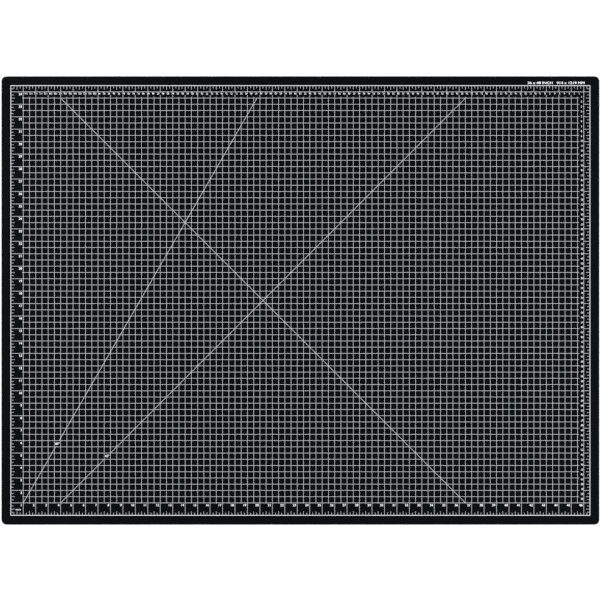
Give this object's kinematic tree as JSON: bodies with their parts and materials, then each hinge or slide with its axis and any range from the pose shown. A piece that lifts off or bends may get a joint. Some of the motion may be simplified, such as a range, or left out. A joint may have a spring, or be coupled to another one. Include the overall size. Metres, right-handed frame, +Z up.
{
  "type": "self healing mat",
  "caption": "Large flat self healing cutting mat of laminated black PVC plies, with a white printed inch grid, edge rulers and angle lines.",
  "frame": {"origin": "middle of the underside, where the mat rests on the bench", "axes": "+X along the 48 inch side, +Y along the 36 inch side towards the edge with the centimetre scale, +Z up out of the printed face"},
  "size_m": [1.2192, 0.9144, 0.003],
  "materials": {
    "healing_skin": "fine matt grain, black flexible PVC",
    "stiff_core": "plain dark grey rigid PVC",
    "healing_core": "plain black flexible PVC",
    "white_ink": "matt screen printed ink"
  },
  "bodies": {
    "root": {"bottom_healing_skin": "healing_skin", "lower_stiffening_ply": "stiff_core", "centre_healing_ply": "healing_core", "upper_stiffening_ply": "stiff_core", "top_healing_skin": "healing_skin", "ink_scale_frame": "white_ink", "ink_angle_lines": "white_ink", "ink_45_line_foot": "white_ink", "ink_60_line_foot": "white_ink"}
  },
  "joints": []
}
